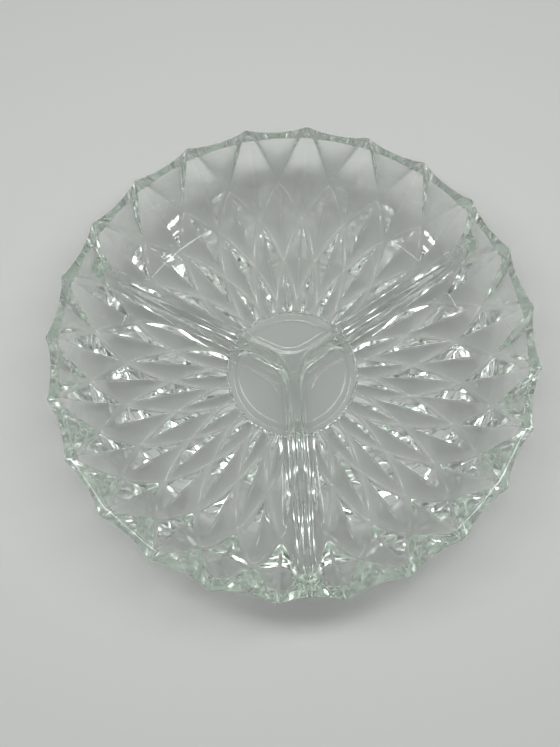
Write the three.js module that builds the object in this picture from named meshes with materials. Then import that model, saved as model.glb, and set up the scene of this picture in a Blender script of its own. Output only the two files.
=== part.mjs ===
// Round relish dish of heavy pressed glass: three compartments between radial dividers, smooth inside,
// with rows of V-shaped cuts outside that cross in a net of diamonds and end in a scalloped rim.
// Millimetres, +Z up, origin at the centre of the foot's underside, front divider along -Y.

import * as THREE from "three";

// Overall form
const height = 40.5;
const rimRadius = 115;
const rimThickness = 6.3;
const scallopDepth = 3;
const compartments = 3;
const scallopsPerCompartment = 8;

// Smooth inside: flat floor, heel arc and straight wall
const floorThickness = 10;
const heelRadius = 28;
const wallAngle = THREE.MathUtils.degToRad(62);

// Rings of the net below the scalloped rim: radial width of the row above each ring, the ring's height,
// and the depth of the V-shaped cuts in their middle, which lies on the ring
const heelRing = { width: 13.8, height: 10.4, cut: 6.4 };
const outerFloorRing = { width: 18.6, height: 2.2, cut: 6.4 };
const innerFloorRing = { width: 23.6, height: 0.6, cut: 5.6 };
const baseRing = { width: 21, height: 0.2, cut: 3.8 };

// Foot and base window
const footWidth = 4.2;
const footHeight = 0.9;
const baseRadius = 31.8;

// Dividers and the hub where they meet
const dividerDrop = 9.5;
const dividerTopWidth = 4.4;
const dividerTopRound = 1.6;
const dividerDraft = THREE.MathUtils.degToRad(7);
const dividerFootFillet = 5.5;
const dividerEndHeight = 2;
const hubReach = 15;
const compartmentCorner = 9;

// Clearance between neighbouring regions of the glass
const seam = 0.3;

// Fineness of the faceted surfaces
const columnsPerScallop = 4;
const rowSteps = 2;
const ringSegments = 48;
const dividerStations = 14;
const cornerSteps = 4;

const compartmentAngle = (2 * Math.PI) / compartments;
const firstDivider = THREE.MathUtils.degToRad(30);
const dividerHeight = height - dividerDrop;

function clearGlass(tint) {
  return new THREE.MeshStandardMaterial({
    color: tint,
    roughness: 0.04,
    metalness: 0,
    transparent: true,
    opacity: 0.4,
  });
}

function ringPoint(radius, angle, z) {
  return new THREE.Vector3(radius * Math.cos(angle), radius * Math.sin(angle), z);
}

// Inside profile as (radius, height) by its length from the axis
const innerRimRadius = rimRadius - rimThickness;
const heelCorner = innerRimRadius - (height - floorThickness) / Math.tan(wallAngle);
const heelTangent = heelRadius * Math.tan(wallAngle / 2);
const heelStart = heelCorner - heelTangent;
const heelEnd = heelStart + heelRadius * wallAngle;
const wallLength = (height - floorThickness) / Math.sin(wallAngle) - heelTangent;
const insideLength = heelEnd + wallLength;

function insidePoint(length) {
  if (length <= heelStart) {
    return new THREE.Vector2(length, floorThickness);
  }
  if (length <= heelEnd) {
    const turn = (length - heelStart) / heelRadius;
    const rise = heelRadius * (1 - Math.cos(turn));
    return new THREE.Vector2(heelStart + heelRadius * Math.sin(turn), floorThickness + rise);
  }
  const left = insideLength - length;
  return new THREE.Vector2(
    innerRimRadius - left * Math.cos(wallAngle),
    height - left * Math.sin(wallAngle),
  );
}

// Length along the inside profile of its point nearest to a point of the outside
function insideLengthNear(point) {
  const across = point.x - heelStart;
  const turn = Math.atan2(across, floorThickness + heelRadius - point.y);
  if (turn <= 0) {
    return point.x;
  }
  if (turn <= wallAngle) {
    return heelStart + heelRadius * turn;
  }
  const fromRim = (innerRimRadius - point.x) * Math.cos(wallAngle) + (height - point.y) * Math.sin(wallAngle);
  return insideLength - fromRim;
}

// The net of diamonds: its rings lie at whole row numbers, and its knots alternate by half a scallop
const rings = [new THREE.Vector2(rimRadius, height)];
const cutMiddles = [scallopDepth];
for (const ring of [heelRing, outerFloorRing, innerFloorRing, baseRing]) {
  const above = rings[rings.length - 1];
  rings.push(new THREE.Vector2(above.x - ring.width, ring.height));
  cutMiddles.push(ring.cut);
}
const ringLengths = rings.map(insideLengthNear);
ringLengths[0] = insideLength;

// Ring beyond the last one, on the edge of the base, so that the net runs up to the foot
const lastRow = rings.length - 1;
const baseEdge = new THREE.Vector2(baseRadius + seam, rings[lastRow].y);
rings.push(baseEdge);
ringLengths.push(baseEdge.x);
const baseRow = lastRow + (rings[lastRow].x - baseEdge.x) / baseRing.width;

function rowPlace(row) {
  const index = Math.min(Math.floor(row), lastRow);
  const span = index === lastRow ? baseRow - lastRow : 1;
  return { index, share: (row - index) / span };
}

function netPoint(row) {
  const { index, share } = rowPlace(row);
  return rings[index].clone().lerp(rings[index + 1], share);
}

function insideOf(row) {
  const { index, share } = rowPlace(row);
  return insidePoint(THREE.MathUtils.lerp(ringLengths[index], ringLengths[index + 1], share));
}

// Height of the faceted inside at a radius, along the straight stretches between the row lines
function insideHeight(radius) {
  let outer = insideOf(0);
  for (let step = 1; step <= Math.floor(baseRow * rowSteps); step += 1) {
    const inner = insideOf(step / rowSteps);
    if (radius >= inner.x) {
      return THREE.MathUtils.mapLinear(radius, inner.x, outer.x, inner.y, outer.y);
    }
    outer = inner;
  }
  return floorThickness;
}

// Depth of the cuts below the net: a rounded scoop at the rim, and V-shaped cuts below it
function cutDepth(scallop, row) {
  let depth = 0;
  for (let cut = 0; cut <= lastRow; cut += 1) {
    const along = row - cut;
    const offset = cut % 2 === 0 ? 0.5 : 0;
    const across = Math.abs(scallop - offset - Math.round(scallop - offset));
    if (Math.abs(along) > 1) {
      continue;
    }
    const sideways = cut === 0 ? (2 * across) ** 2 : 2 * across;
    depth = Math.max(depth, cutMiddles[cut] * (1 - along ** 2 - sideways));
  }
  return depth;
}

function outsideOf(scallop, row) {
  const net = netPoint(row);
  const inwards = insideOf(row).sub(net);
  return net.addScaledVector(inwards.normalize(), cutDepth(scallop, row));
}

// A closed body from points and triangles, with its faces turned outwards
function closedBody(points, triangles) {
  let volume = 0;
  for (const [a, b, c] of triangles) {
    volume += points[a].dot(points[b].clone().cross(points[c]));
  }
  const outwards = volume > 0 ? triangles : triangles.map(([a, b, c]) => [a, c, b]);
  const geometry = new THREE.BufferGeometry().setFromPoints(points);
  geometry.setIndex(outwards.flat());
  geometry.computeVertexNormals();
  return geometry;
}

// The glass between a patch of the inside and a patch of the outside, both on the same grid of points
function slab(inside, outside, risingDiagonal) {
  const lines = inside.length;
  const columns = inside[0].length;
  const count = lines * columns;
  const points = [...inside.flat(), ...outside.flat()];
  const triangles = [];
  const at = (line, column) => line * columns + column;
  for (let line = 0; line + 1 < lines; line += 1) {
    for (let column = 0; column + 1 < columns; column += 1) {
      const a = at(line, column);
      const b = at(line, column + 1);
      const c = at(line + 1, column + 1);
      const d = at(line + 1, column);
      const halves = risingDiagonal(line, column) ? [[a, b, c], [a, c, d]] : [[a, b, d], [b, c, d]];
      for (const [p, q, r] of halves) {
        triangles.push([p, q, r], [p + count, r + count, q + count]);
      }
    }
  }
  const border = [];
  for (let column = 0; column + 1 < columns; column += 1) {
    border.push(at(0, column));
  }
  for (let line = 0; line + 1 < lines; line += 1) {
    border.push(at(line, columns - 1));
  }
  for (let column = columns - 1; column > 0; column -= 1) {
    border.push(at(lines - 1, column));
  }
  for (let line = lines - 1; line > 0; line -= 1) {
    border.push(at(line, 0));
  }
  border.forEach((p, index) => {
    const q = border[(index + 1) % border.length];
    triangles.push([p, p + count, q + count], [p, q + count, q]);
  });
  return closedBody(points, triangles);
}

// A body lofted through loops of points, with flat ends
function loft(loops, flatten) {
  const size = loops[0].length;
  const points = loops.flat();
  const triangles = [];
  for (let loop = 0; loop + 1 < loops.length; loop += 1) {
    for (let index = 0; index < size; index += 1) {
      const a = loop * size + index;
      const b = loop * size + ((index + 1) % size);
      triangles.push([a, b, b + size], [a, b + size, a + size]);
    }
  }
  const start = THREE.ShapeUtils.triangulateShape(loops[0].map(flatten), []);
  const end = THREE.ShapeUtils.triangulateShape(loops[loops.length - 1].map(flatten), []);
  const lastLoop = (loops.length - 1) * size;
  const turned = THREE.ShapeUtils.isClockWise(loops[0].map(flatten));
  for (const [a, b, c] of start) {
    triangles.push(turned ? [a, b, c] : [a, c, b]);
  }
  for (const [a, b, c] of end) {
    const cap = [a + lastLoop, b + lastLoop, c + lastLoop];
    triangles.push(turned ? [cap[0], cap[2], cap[1]] : cap);
  }
  return closedBody(points, triangles);
}

// Rows of the net between two row numbers, drawn back by half a seam where another region follows
function rowLines(from, to, openStart, openEnd) {
  const lines = [];
  for (let row = from; row < to; row += 1 / rowSteps) {
    lines.push(row);
  }
  lines.push(to);
  const rowLength = (row) => netPoint(Math.floor(row)).distanceTo(netPoint(Math.floor(row) + 1));
  if (!openStart) {
    lines[0] += seam / 2 / rowLength(from);
  }
  if (!openEnd) {
    lines[lines.length - 1] -= seam / 2 / rowLength(Math.ceil(to) - 1);
  }
  return lines;
}

// One compartment's share of the outer shell between two row numbers
function shellRegion(startAngle, from, to, openStart, openEnd) {
  const lines = rowLines(from, to, openStart, openEnd);
  const columns = scallopsPerCompartment * columnsPerScallop;
  const inside = [];
  const outside = [];
  for (const row of lines) {
    const insideLine = [];
    const outsideLine = [];
    for (let column = 0; column <= columns; column += 1) {
      const scallop = 0.5 + column / columnsPerScallop;
      const angleFor = (radius) => {
        const half = seam / 2 / radius;
        const share = column / columns;
        return THREE.MathUtils.lerp(startAngle + half, startAngle + compartmentAngle - half, share);
      };
      const inner = insideOf(row);
      const outer = outsideOf(scallop, row);
      insideLine.push(ringPoint(inner.x, angleFor(inner.x), inner.y));
      outsideLine.push(ringPoint(outer.x, angleFor(outer.x), outer.y));
    }
    inside.push(insideLine);
    outside.push(outsideLine);
  }
  // Ridges of the net run along the rising or the falling diagonals of the grid
  const firstColumn = columnsPerScallop / 2;
  const firstLine = Math.round(from * rowSteps);
  const rising = (line, column) => (firstColumn + column - firstLine - line) % columnsPerScallop === 0;
  return slab(inside, outside, rising);
}

// Section of a divider over a floor: half widths and heights above that floor, from the foot to the top
function dividerLevels(floor) {
  const tall = dividerHeight - floor;
  const halfTop = dividerTopWidth / 2;
  const halfAt = (level) => halfTop + (tall - level) * Math.tan(dividerDraft);
  const round = Math.min(dividerTopRound, tall / 2);
  const fillet = Math.min(dividerFootFillet, tall - round);
  const middleOfArc = 1 - Math.SQRT1_2;
  return [
    { half: halfAt(0) + fillet, level: 0 },
    { half: halfAt(0) + fillet * middleOfArc, level: fillet * middleOfArc },
    { half: halfAt(fillet), level: fillet },
    { half: halfTop, level: tall - round },
    { half: halfTop - round * middleOfArc, level: tall - round * middleOfArc },
    { half: halfTop - round, level: tall },
  ];
}

function dividerLoop(angle, distance) {
  const along = new THREE.Vector3(Math.cos(angle), Math.sin(angle), 0);
  const across = new THREE.Vector3(-Math.sin(angle), Math.cos(angle), 0);
  const place = (side, z) => along.clone().multiplyScalar(distance).addScaledVector(across, side).setZ(z);
  const levels = dividerLevels(insideHeight(distance) + seam);
  const floorAt = (side) => insideHeight(Math.hypot(distance, side)) + seam;
  const left = [];
  const right = [];
  for (const { half, level } of levels) {
    const z = Math.max(dividerHeight - levels[levels.length - 1].level + level, floorAt(half));
    right.push(place(half, z));
    left.unshift(place(-half, z));
  }
  return [place(0, floorAt(0)), ...right, ...left];
}

function divider(angle) {
  const wallReach = insidePoint(insideLength).x;
  let end = hubReach;
  while (insideHeight(end) + seam < dividerHeight - dividerEndHeight && end < wallReach) {
    end += seam;
  }
  const loops = [];
  for (let station = 0; station <= dividerStations; station += 1) {
    const share = Math.sin((station / dividerStations) * (Math.PI / 2));
    loops.push(dividerLoop(angle, THREE.MathUtils.lerp(hubReach + seam, end, share)));
  }
  const side = new THREE.Vector3(-Math.sin(angle), Math.cos(angle), 0);
  return loft(loops, (point) => new THREE.Vector2(point.dot(side), point.z));
}

// The hub: three short arms with rounded corners between them
function hubLoop(half, z) {
  const loop = [];
  const sector = compartmentAngle / 2;
  const corner = compartmentCorner;
  const centreReach = (half + corner) / Math.sin(sector);
  const reach = Math.max(hubReach, (half + corner) / Math.tan(sector));
  for (let arm = 0; arm < compartments; arm += 1) {
    const angle = firstDivider + arm * compartmentAngle;
    const along = new THREE.Vector3(Math.cos(angle), Math.sin(angle), 0);
    const across = new THREE.Vector3(-Math.sin(angle), Math.cos(angle), 0);
    loop.push(along.clone().multiplyScalar(reach).addScaledVector(across, -half).setZ(z));
    loop.push(along.clone().multiplyScalar(reach).addScaledVector(across, half).setZ(z));
    const centre = ringPoint(centreReach, angle + sector, z);
    const from = angle - Math.PI / 2;
    const sweep = Math.PI - compartmentAngle;
    for (let step = 0; step <= cornerSteps; step += 1) {
      const turn = from - (sweep * step) / cornerSteps;
      loop.push(centre.clone().add(ringPoint(corner, turn, 0)));
    }
  }
  return loop;
}

function dividerHub() {
  const floor = floorThickness + seam;
  const loops = dividerLevels(floor).map(({ half, level }) => hubLoop(half, floor + level));
  return loft(loops, (point) => new THREE.Vector2(point.x, point.y));
}

function footRing() {
  const inner = baseRadius - footWidth;
  const profile = [
    new THREE.Vector2(inner, 0),
    new THREE.Vector2(baseRadius, 0),
    new THREE.Vector2(baseRadius, footHeight),
    new THREE.Vector2(inner, footHeight),
    new THREE.Vector2(inner, 0),
  ];
  return new THREE.LatheGeometry(profile, ringSegments).rotateX(Math.PI / 2);
}

function baseDisc() {
  const profile = [
    new THREE.Vector2(0, footHeight),
    new THREE.Vector2(baseRadius, footHeight),
    new THREE.Vector2(baseRadius, floorThickness),
    new THREE.Vector2(0, floorThickness),
  ];
  return new THREE.LatheGeometry(profile, ringSegments).rotateX(Math.PI / 2);
}

const dish = new THREE.Group();

function addRegion(name, geometry, tint) {
  const mesh = new THREE.Mesh(geometry, clearGlass(tint));
  mesh.name = name;
  dish.add(mesh);
}

addRegion("foot_ring", footRing(), 0xd9e2dc);
addRegion("base_disc", baseDisc(), 0xe3e9e5);

const rimEnd = 0.5;
const wallEnd = 2;
["back", "left", "right"].forEach((side, index) => {
  const start = firstDivider + index * compartmentAngle;
  addRegion(`floor_${side}`, shellRegion(start, wallEnd, baseRow, false, true), 0xdfe6e1);
  addRegion(`wall_${side}`, shellRegion(start, rimEnd, wallEnd, false, false), 0xd6e0da);
  addRegion(`rim_${side}`, shellRegion(start, 0, rimEnd, true, false), 0xcdd9d2);
});

["right", "left", "front"].forEach((side, index) => {
  addRegion(`divider_${side}`, divider(firstDivider + index * compartmentAngle), 0xd9e2dc);
});
addRegion("divider_hub", dividerHub(), 0xd9e2dc);

export default dish;
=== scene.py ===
# A round relish dish of heavy pressed glass with three compartments, on a pale table in soft light.
# Metres, +Z up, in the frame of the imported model.

import math

import bpy
from mathutils import Matrix, Vector


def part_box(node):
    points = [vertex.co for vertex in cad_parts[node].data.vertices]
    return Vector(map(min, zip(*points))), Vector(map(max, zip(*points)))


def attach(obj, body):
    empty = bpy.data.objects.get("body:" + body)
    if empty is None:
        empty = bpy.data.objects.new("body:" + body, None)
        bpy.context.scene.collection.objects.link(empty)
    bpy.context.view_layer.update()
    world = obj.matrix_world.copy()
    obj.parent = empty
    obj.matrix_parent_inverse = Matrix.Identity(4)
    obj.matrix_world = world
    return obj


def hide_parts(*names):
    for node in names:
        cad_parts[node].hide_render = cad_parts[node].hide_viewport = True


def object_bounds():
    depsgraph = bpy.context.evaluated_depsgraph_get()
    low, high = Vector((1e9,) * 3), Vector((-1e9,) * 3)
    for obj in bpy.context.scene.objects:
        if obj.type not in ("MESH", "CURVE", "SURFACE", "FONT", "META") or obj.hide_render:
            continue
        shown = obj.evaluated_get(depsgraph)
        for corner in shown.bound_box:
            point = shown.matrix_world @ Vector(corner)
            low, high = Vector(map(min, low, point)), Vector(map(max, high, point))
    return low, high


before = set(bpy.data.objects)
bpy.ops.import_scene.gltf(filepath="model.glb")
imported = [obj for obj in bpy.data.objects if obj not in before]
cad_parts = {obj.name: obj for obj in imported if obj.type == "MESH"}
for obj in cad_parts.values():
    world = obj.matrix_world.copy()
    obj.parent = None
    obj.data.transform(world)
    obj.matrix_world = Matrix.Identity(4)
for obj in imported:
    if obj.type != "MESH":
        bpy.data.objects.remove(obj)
cad_low, cad_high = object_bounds()
mm = 0.001

# The camera stands nearly over the dish and a little to its front, as for a hand-held picture.
# Its lens, tilt, roll and place follow the rim, the net and the foot as they lie in the picture.
scallops = 24
scallop_angle = 2 * math.pi / scallops
rim_radius = 0.5 * (cad_high.y - cad_low.y) / math.cos(scallop_angle / 2)
picture_height = 747
focal_pixels = 1166
camera_tilt = math.radians(15.52)
camera_roll = math.radians(-0.43)
camera_turn = math.radians(-4.28)
camera_distance = 5.02 * rim_radius
camera_side = -0.052 * rim_radius
camera_up = 0.008 * rim_radius

lens = bpy.data.cameras.new("picture_lens")
lens.sensor_fit = "VERTICAL"
lens.sensor_height = 36
lens.lens = lens.sensor_height * focal_pixels / picture_height
lens.clip_start = 0.01
camera = bpy.data.objects.new("picture_camera", lens)
bpy.context.scene.collection.objects.link(camera)
stand = (
    Matrix.Rotation(camera_turn, 4, "Z")
    @ Matrix.Rotation(camera_tilt, 4, "X")
    @ Matrix.Rotation(-camera_roll, 4, "Z")
)
camera.matrix_world = stand @ Matrix.Translation((camera_side, camera_up, camera_distance))
bpy.context.scene.camera = camera

# The inside of the dish is smooth, as the plunger of the press left it: a flat floor, a round heel and a
# straight wall, with three drafted ribs that stand on the floor, meet in a Y and run out in the wall.
# One compartment is shaped on a grid whose lines follow its two ribs, and is set round three times.
height = cad_high.z
floor_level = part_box("base_disc")[1].z
divider_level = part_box("divider_front")[1].z
rim_thickness = 6.3 * mm
wall_angle = math.radians(62)
heel_radius = 28 * mm
inner_rim = rim_radius - rim_thickness
heel_tangent = heel_radius * math.tan(wall_angle / 2)
heel_start = inner_rim - (height - floor_level) / math.tan(wall_angle) - heel_tangent
heel_centre = floor_level + heel_radius
heel_end = heel_start + heel_radius * wall_angle
inside_length = heel_end + (height - floor_level) / math.sin(wall_angle) - heel_tangent


def inside_point(length):
    """Radius and height of the bowl's inside at a length along its profile from the axis."""
    if length <= heel_start:
        return Vector((length, floor_level))
    if length <= heel_end:
        turn = (length - heel_start) / heel_radius
        radius = heel_start + heel_radius * math.sin(turn)
        return Vector((radius, heel_centre - heel_radius * math.cos(turn)))
    left = inside_length - length
    return Vector((inner_rim - left * math.cos(wall_angle), height - left * math.sin(wall_angle)))


def above_bowl(radius, z):
    """How far a point lies above the plain bowl."""
    turn = math.atan2(radius - heel_start, heel_centre - z)
    if turn <= 0:
        return z - floor_level
    if turn < wall_angle:
        return heel_radius - math.hypot(radius - heel_start, heel_centre - z)
    return (inner_rim - radius) * math.sin(wall_angle) - (height - z) * math.cos(wall_angle)


compartments = 3
compartment_angle = 2 * math.pi / compartments
first_divider = math.radians(30)
divider_draft = math.radians(7)
divider_edge = 1.3 * mm
divider_land = 0.9 * mm
divider_fillet = 5.5 * mm
compartment_corner = 9 * mm
height_halvings = 40


def outside_divider(distance, z):
    """How far a point lies outside a rib, from its distance to the rib's middle plane and its height."""
    across = max(distance - divider_land, 0)
    up = z - (divider_level - divider_edge)
    if up * math.cos(divider_draft) >= across * math.sin(divider_draft):
        return math.hypot(across, up) - divider_edge
    return across * math.cos(divider_draft) + up * math.sin(divider_draft) - divider_edge


def blended(a, b, reach):
    """The lesser of two distances, rounded where they meet."""
    overlap = max(reach - abs(a - b), 0)
    return min(a, b) - overlap * overlap / (4 * reach)


def inside_height(radius, angle):
    """Height of the glass inside a compartment. The angle is counted from its first rib."""
    right_angle = math.pi / 2
    near = radius * math.sin(min(angle, right_angle))
    far = radius * math.sin(min(compartment_angle - angle, right_angle))
    distance = max(blended(near, far, compartment_corner), 0)
    low = floor_level - heel_radius
    high = height + heel_radius
    for _ in range(height_halvings):
        middle = 0.5 * (low + high)
        above_rib = outside_divider(distance, middle)
        if blended(above_bowl(radius, middle), above_rib, divider_fillet) > 0:
            high = middle
        else:
            low = middle
    return middle


def soft_corner(start, corner, end, share):
    """A point on the curve that rounds a corner between two points."""
    return start * (1 - share) ** 2 + corner * 2 * share * (1 - share) + end * share**2


def empty_grid(name, columns, lines):
    """A new grid with a given number of cells each way, from 0 to 1 along X and Y."""
    bpy.ops.object.select_all(action="DESELECT")
    bpy.ops.mesh.primitive_grid_add(
        x_subdivisions=columns, y_subdivisions=lines, size=1, location=(0.5, 0.5, 0)
    )
    bpy.ops.object.transform_apply(location=True, rotation=True, scale=True)
    grid = bpy.context.object
    grid.name = name
    return grid


def apply_modifier(piece, kind, settings):
    """Adds a modifier to a piece and applies it."""
    modifier = piece.modifiers.new(kind.lower(), kind)
    for name, value in settings.items():
        setattr(modifier, name, value)
    bpy.context.view_layer.objects.active = piece
    bpy.ops.object.modifier_apply(modifier=modifier.name)


merge_reach = 0.02 * mm


def set_round(piece, count):
    """Copies a sector of the dish round its axis and closes the joins."""
    turn = bpy.data.objects.new("sector_turn", None)
    turn.rotation_euler.z = 2 * math.pi / count
    bpy.context.scene.collection.objects.link(turn)
    bpy.context.view_layer.update()
    settings = {
        "count": count,
        "use_relative_offset": False,
        "use_object_offset": True,
        "offset_object": turn,
        "use_merge_vertices": True,
        "use_merge_vertices_cap": True,
        "merge_threshold": merge_reach,
    }
    apply_modifier(piece, "ARRAY", settings)
    bpy.data.objects.remove(turn)


rim_round = 0.45 * mm
rib_zone = 12 * mm
rib_lines = 14
rib_crowding = 1.3
floor_lines = 22
wall_lines = 26
lip_lines = 5

lines = [rib_zone * (step / rib_lines) ** rib_crowding for step in range(rib_lines)]
lines += [rib_zone + (heel_start - rib_zone) * step / floor_lines for step in range(floor_lines)]
wall_end = inside_length - rim_round
for step in range(wall_lines):
    lines.append(inside_point(heel_start + (wall_end - heel_start) * step / wall_lines).x)
lip = []
for step in range(lip_lines + 1):
    top = Vector((inner_rim + rim_round, height))
    lip.append(soft_corner(inside_point(wall_end), Vector((inner_rim, height)), top, step / lip_lines))
lines += [point.x for point in lip]

bowl = empty_grid("bowl_inside", len(lines) - 1, len(lines) - 1)
for vertex in bowl.data.vertices:
    column = round(vertex.co.x * (len(lines) - 1))
    line = round(vertex.co.y * (len(lines) - 1))
    radius = lines[max(column, line)]
    share = 0.5 * min(lines[column], lines[line]) / radius if radius > 0 else 0
    angle = compartment_angle * (share if column >= line else 1 - share)
    from_end = max(column, line) - (len(lines) - len(lip))
    z = lip[from_end].y if from_end >= 0 else inside_height(radius, angle)
    turned = first_divider + angle
    vertex.co = (radius * math.cos(turned), radius * math.sin(turned), z)
set_round(bowl, compartments)

# The outside is pressed in a mould cut with rows of V-shaped grooves. Their ridges cross in a net of
# diamonds, and a pointed flute hangs from each scallop of the rim. Half a scallop is shaped on a grid
# with its diagonals laid along the ridges, then mirrored and set round the dish 24 times.
foot_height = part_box("foot_ring")[1].z
base_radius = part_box("base_disc")[1].x
heel_ring = (13.8 * mm, 10.4 * mm, 7 * mm)
outer_floor_ring = (18.6 * mm, 2.2 * mm, 6.8 * mm)
inner_floor_ring = (23.6 * mm, 0.6 * mm, 5.6 * mm)
base_ring = (21 * mm, 0.2 * mm, 3.8 * mm)
knot_halves = [0] + [0.02] * 4
groove_sag = 0.65
ridge_round = 0.7 * mm
ridge_land = 0.5 * mm
ridge_crowding = 1.5
bend_reach = 0.25
flute_depth = 3 * mm
flute_half = 0.48
flute_edge = 0.15
flute_edge_power = 8
flute_tip = 0.01
flute_widest = 2

rings = [Vector((rim_radius, height))]
groove_depths = [heel_ring[2]]
for width, level, cut in (heel_ring, outer_floor_ring, inner_floor_ring, base_ring):
    rings.append(Vector((rings[-1].x - width, level)))
    groove_depths.append(cut)
rings.append(Vector((base_radius, rings[-1].y)))
groove_depths.append(groove_depths[-1])
last_row = len(rings) - 2
base_row = last_row + (rings[-2].x - base_radius) / base_ring[0]


def inside_length_near(point):
    """Length along the inside profile of its point nearest to a point outside it."""
    turn = math.atan2(point.x - heel_start, heel_centre - point.y)
    if turn <= 0:
        return point.x
    if turn <= wall_angle:
        return heel_start + heel_radius * turn
    fall = (inner_rim - point.x) * math.cos(wall_angle) + (height - point.y) * math.sin(wall_angle)
    return inside_length - fall


ring_lengths = [inside_length] + [inside_length_near(ring) for ring in rings[1:]]


def along_rings(values, row):
    """A value given at each ring, read at a row between rings, with its bends rounded off."""
    index = min(int(row), last_row)
    span = base_row - last_row if index == last_row else 1
    value = values[index] + (values[index + 1] - values[index]) * ((row - index) / span)
    ring = round(row)
    if 0 < ring < last_row:
        bend = values[ring + 1] - 2 * values[ring] + values[ring - 1]
        value = value + bend * (max(bend_reach - abs(row - ring), 0) ** 2 / (4 * bend_reach))
    return value


def ridge_run(row):
    """The ring above a row, where ridges leave it and join below, and how far between the row is."""
    ring = min(max(math.ceil(row) - 1, 0), last_row)
    leaves = ring + knot_halves[ring]
    joins = ring + 1 - knot_halves[ring + 1] if ring < last_row else ring + 1
    return ring, leaves, joins, min(max((row - leaves) / (joins - leaves), 0), 1)


def crowded(side, row):
    """A place on the net, moved towards the ridge beside it, where the glass bends most."""
    ring, leaves, joins, climb = ridge_run(row)
    across = 2 * side if ring % 2 == 0 else 1 - 2 * side
    if ring == last_row:
        climb = 0
    past_ridge = across + climb > 1
    if past_ridge:
        across, climb = 1 - across, 1 - climb
    reach = across + climb
    scale = (1 - (1 - reach) ** ridge_crowding) / reach if reach > 0 else 1
    across *= scale
    climb *= scale
    if past_ridge:
        across, climb = 1 - across, 1 - climb
    if leaves < row < joins and ring < last_row:
        row = leaves + climb * (joins - leaves)
    return 0.5 * (across if ring % 2 == 0 else 1 - across), row


def groove_depth(side, row):
    """Depth of the grooves below the net. The side is counted in scallops from a scallop's middle."""
    middle = along_rings(groove_depths, row)
    ring, leaves, joins, climb = ridge_run(row)
    upper = side if ring % 2 == 0 else 0.5 - side
    lower = 0.5 - upper
    sag = groove_sag * climb * (1 - climb) if ring > 0 else 0
    depth = middle * sag
    if ring == 0:
        reach = max(1 - climb, flute_tip)
        for across in (side, 1 - side):
            share = min(across / (flute_half * reach), flute_widest)
            hollow = 1 - (1 - flute_edge) * share**2 - flute_edge * share**flute_edge_power
            flute = flute_depth * reach * hollow
            depth = -blended(-depth, -flute, ridge_round)
    grooves = [(climb, 2 * lower), (climb, 2 - 2 * lower)]
    if ring > 0:
        grooves += [(1 - climb, 2 * upper), (1 - climb, 2 - 2 * upper)]
    for reach, across in grooves:
        cut = middle * (reach + sag - across) - ridge_land
        depth = -blended(-depth, -cut, ridge_round)
    return depth


def outside_point(side, row):
    """Radius and height of the outside at a place on the net."""
    net = along_rings(rings, row)
    inwards = (inside_point(along_rings(ring_lengths, row)) - net).normalized()
    return net + inwards * groove_depth(side, row)


columns = 16
knot_lines = 2
rows = []
for ring in range(last_row):
    leaves = ring + knot_halves[ring]
    joins = ring + 1 - knot_halves[ring + 1]
    if ring > 0:
        rows += [ring + (leaves - ring) * step / knot_lines for step in range(knot_lines)]
    rows += [leaves + (joins - leaves) * step / columns for step in range(columns)]
    rows += [joins + (ring + 1 - joins) * step / knot_lines for step in range(knot_lines)]
base_lines = 5
rows += [last_row + (base_row - last_row) * step / base_lines for step in range(base_lines + 1)]
rows.pop(0)

foot_edge = 0.8 * mm
foot_width = 4.2 * mm
recess_radius = base_radius - foot_width
foot = [
    Vector((base_radius, foot_edge)),
    Vector((base_radius - foot_edge, 0)),
    Vector((base_radius - 2 * foot_edge, 0)),
    Vector((recess_radius + 2 * foot_edge, 0)),
    Vector((recess_radius + foot_edge, 0)),
    Vector((recess_radius, 0.5 * foot_height)),
    Vector((recess_radius - foot_edge, foot_height)),
    Vector((recess_radius - 3 * foot_edge, foot_height)),
]
outside_lines = lip_lines + 1 + len(rows) + len(foot)
net = empty_grid("net_outside", columns, outside_lines - 1)
for vertex in net.data.vertices:
    side = 0.5 * round(vertex.co.x * columns) / columns
    line = round((1 - vertex.co.y) * (outside_lines - 1))
    row = line - lip_lines - 1
    if row < 0:
        side = crowded(side, 0)[0]
        corner = outside_point(side, 0)
        below = corner + (outside_point(side, rows[0]) - corner).normalized() * rim_round
        top = corner - Vector((rim_round, 0))
        point = soft_corner(top, corner, below, line / lip_lines)
    elif row < len(rows):
        side, place_down = crowded(side, rows[row])
        point = outside_point(side, place_down)
    else:
        side = crowded(side, base_row)[0]
        point = foot[row - len(rows)]
    turned = math.pi / 2 - side * scallop_angle
    vertex.co = (point.x * math.cos(turned), point.x * math.sin(turned), point.y)

line_rings = [0] * (lip_lines + 1) + [math.ceil(row) - 1 for row in rows] + [last_row] * len(foot)
for face in net.data.polygons:
    line = outside_lines - 2 - face.index // columns
    face.material_index = line_rings[line + 1] % 2
for parity, diagonal in ((0, "FIXED"), (1, "FIXED_ALTERNATE")):
    for face in net.data.polygons:
        face.select = len(face.vertices) == 4 and face.material_index == parity
    bpy.ops.object.mode_set(mode="EDIT")
    bpy.ops.mesh.select_mode(type="FACE")
    bpy.ops.mesh.quads_convert_to_tris(quad_method=diagonal)
    bpy.ops.object.mode_set(mode="OBJECT")
settings = {"use_axis": (True, False, False), "use_mirror_merge": True, "merge_threshold": merge_reach}
apply_modifier(net, "MIRROR", settings)
set_round(net, scallops)

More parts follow.
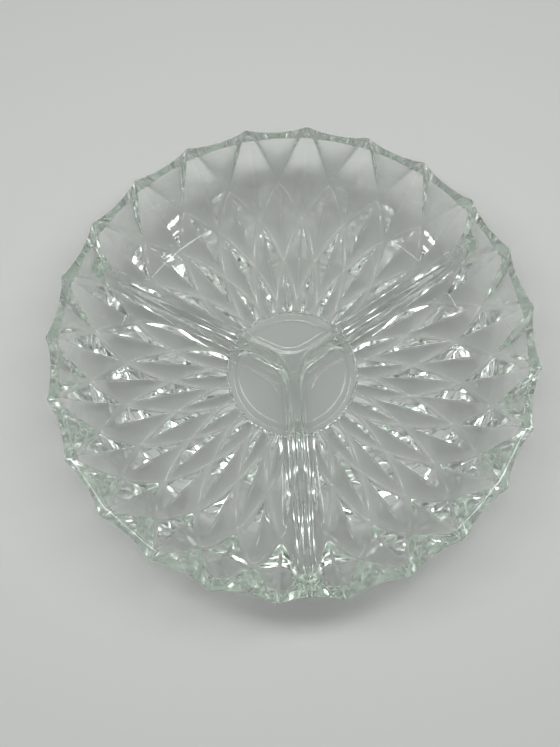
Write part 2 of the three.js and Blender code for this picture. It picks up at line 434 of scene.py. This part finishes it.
# Inside and outside are one pressing with no seam between them: the flat land of the rim joins them
# above, and the sunk window of the base closes the glass below, inside the ring of the foot.
level_reach = 0.01 * mm
bpy.ops.object.select_all(action="DESELECT")
bowl.select_set(True)
net.select_set(True)
bpy.context.view_layer.objects.active = net
bpy.ops.object.join()
dish = net
dish.name = "pressed_glass_dish"
dish.data.name = "pressed_glass_dish"
bpy.ops.object.mode_set(mode="EDIT")
bpy.ops.mesh.select_all(action="SELECT")
bpy.ops.mesh.remove_doubles(threshold=merge_reach)
for level in (height, foot_height):
    bpy.ops.mesh.select_mode(type="EDGE")
    bpy.ops.mesh.select_all(action="DESELECT")
    bpy.ops.mesh.select_non_manifold(
        use_wire=False,
        use_boundary=True,
        use_multi_face=False,
        use_non_contiguous=False,
        use_verts=False,
    )
    bpy.ops.object.mode_set(mode="OBJECT")
    for edge in dish.data.edges:
        at_level = abs(dish.data.vertices[edge.vertices[0]].co.z - level) < level_reach
        edge.select = edge.select and at_level
    bpy.ops.object.mode_set(mode="EDIT")
    if level == height:
        bpy.ops.mesh.fill(use_beauty=True)
    else:
        bpy.ops.mesh.edge_face_add()
bpy.ops.mesh.select_all(action="SELECT")
bpy.ops.mesh.normals_make_consistent(inside=False)
bpy.ops.object.mode_set(mode="OBJECT")
bpy.ops.object.shade_smooth()

# Clear soda glass with a faint green in its thickness, fire-polished after pressing: very smooth, with
# the slight waves that the cooling mould leaves. The whole dish is of this one glass.
glass_face = (0.99, 1, 0.992, 1)
glass_index = 1.52
glass_tint = (0.71, 0.8, 0.72, 1)
glass_density = 10
glass_roughness = 0.02
wave_height = 0.4 * mm
wave_strength = 0.12


class Shade:
    """A value in a material. Sums and products of such values add nodes to it."""

    def __init__(self, tree, socket=None):
        self.tree = tree
        self.socket = socket

    def node(self, kind, settings, inputs, output=0):
        made = self.tree.nodes.new(kind)
        for name, value in settings.items():
            if name == "stops":
                self.set_stops(made.color_ramp.elements, value)
            else:
                setattr(made, name, value)
        for name, value in inputs.items():
            if isinstance(value, Shade):
                self.tree.links.new(value.socket, made.inputs[name])
            else:
                made.inputs[name].default_value = value
        return Shade(self.tree, made.outputs[output] if made.outputs else None)

    def set_stops(self, stops, levels):
        for place, level in levels:
            stop = stops.new(place)
            stop.color = (level, level, level, 1)
        stops.remove(stops[0])
        stops.remove(stops[-1])

    def maths(self, operation, first, second):
        return self.node("ShaderNodeMath", {"operation": operation}, {0: first, 1: second})

    def __add__(self, other):
        return self.maths("ADD", self, other)

    def __mul__(self, other):
        return self.maths("MULTIPLY", self, other)

    __radd__ = __add__
    __rmul__ = __mul__


def new_finish(name):
    """An empty material, with a value to build its nodes from."""
    finish = bpy.data.materials.new(name)
    finish.use_nodes = True
    finish.node_tree.nodes.clear()
    return finish, Shade(finish.node_tree)


glass, start = new_finish("clear_pressed_glass")
place = start.node("ShaderNodeTexCoord", {}, {}, "Object")
waves = start.node("ShaderNodeTexNoise", {}, {"Vector": place, "Scale": 90, "Detail": 2}, "Fac")
haze = start.node("ShaderNodeTexNoise", {}, {"Vector": place, "Scale": 35, "Detail": 4}, "Fac")
wavy = {"Strength": wave_strength, "Distance": wave_height, "Height": waves}
bump = start.node("ShaderNodeBump", {}, wavy)
body = start.node(
    "ShaderNodeBsdfPrincipled",
    {},
    {
        "Base Color": glass_face,
        "Transmission Weight": 1,
        "IOR": glass_index,
        "Roughness": haze * glass_roughness,
        "Normal": bump,
    },
)
tinted = {"Color": glass_tint, "Density": glass_density}
thickness = start.node("ShaderNodeVolumeAbsorption", {}, tinted)
start.node("ShaderNodeOutputMaterial", {}, {"Surface": body, "Volume": thickness})
dish.data.materials.clear()
dish.data.polygons.foreach_set("material_index", [0] * len(dish.data.polygons))
dish.data.materials.append(glass)
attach(dish, "root")
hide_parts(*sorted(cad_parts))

# The table is a wide plain board in a pale grey, with a fine dull grain in its finish. It lies a hair
# below the foot, so that the glass and the board never share a face.
table_width = 16
table_drop = 0.05 * mm
board_colour = (0.585, 0.60, 0.58, 1)
bpy.ops.object.select_all(action="DESELECT")
bpy.ops.mesh.primitive_plane_add(size=table_width)
table = bpy.context.object
table.name = "pale_table"
table.location.z = -table_drop
board, start = new_finish("pale_board")
place = start.node("ShaderNodeTexCoord", {}, {}, "Object")
grain = start.node("ShaderNodeTexNoise", {}, {"Vector": place, "Scale": 60, "Detail": 3}, "Fac")
dull = 0.5 + 0.1 * grain
body = start.node(
    "ShaderNodeBsdfPrincipled",
    {},
    {"Base Color": board_colour, "Roughness": dull, "Specular IOR Level": 0.3},
)
start.node("ShaderNodeOutputMaterial", {}, {"Surface": body})
table.data.materials.append(board)

# The room gives plain light without colour, brightest overhead and falling to near dark at the level of
# the table, so that the glass has something dark to bend and mirror at its edges.
sky_levels = ((0.0, 0.04), (0.35, 0.17), (0.8, 0.55))
room = bpy.data.worlds.new("soft_room")
bpy.context.scene.world = room
room.use_nodes = True
room.node_tree.nodes.clear()
start = Shade(room.node_tree)
place = start.node("ShaderNodeTexCoord", {}, {}, "Generated")
rise = start.node("ShaderNodeSeparateXYZ", {}, {"Vector": place}, "Z")
sky = start.node("ShaderNodeValToRGB", {"stops": sky_levels}, {"Fac": rise})
air = start.node("ShaderNodeBackground", {}, {"Color": (1, 1, 1, 1), "Strength": sky})
start.node("ShaderNodeOutputWorld", {}, {"Surface": air})

# Two soft panels and two thin bars of light hang to the left and right over the dish, beside the camera.
# Only the bars show in the mirror of the smooth inside, as thin streaks along its heel.
panel = (0.13, 0.5, 5, False)
bar = (0.012, 0.22, 9, True)
lamp_back = 0.05
lamp_power = 4
for name, across, up, (width, length, level, mirrored) in (
    ("left_panel", -0.22, 0.6, panel),
    ("right_panel", 0.22, 0.6, panel),
    ("left_bar", -0.2, 0.59, bar),
    ("right_bar", 0.2, 0.59, bar),
):
    lamp = bpy.data.lights.new(name, "AREA")
    lamp.shape = "RECTANGLE"
    lamp.size = width
    lamp.size_y = length
    lamp.energy = lamp_power * width * length * level
    hung = bpy.data.objects.new(name, lamp)
    bpy.context.scene.collection.objects.link(hung)
    hung.location = (across, lamp_back, up)
    hung.rotation_euler = hung.location.to_track_quat("Z", "Y").to_euler()
    hung.visible_glossy = mirrored

glass_bounces = 24
mirror_bounces = 16
scene = bpy.context.scene
scene.view_settings.view_transform = "Standard"
scene.cycles.max_bounces = glass_bounces
scene.cycles.transmission_bounces = glass_bounces
scene.cycles.glossy_bounces = mirror_bounces
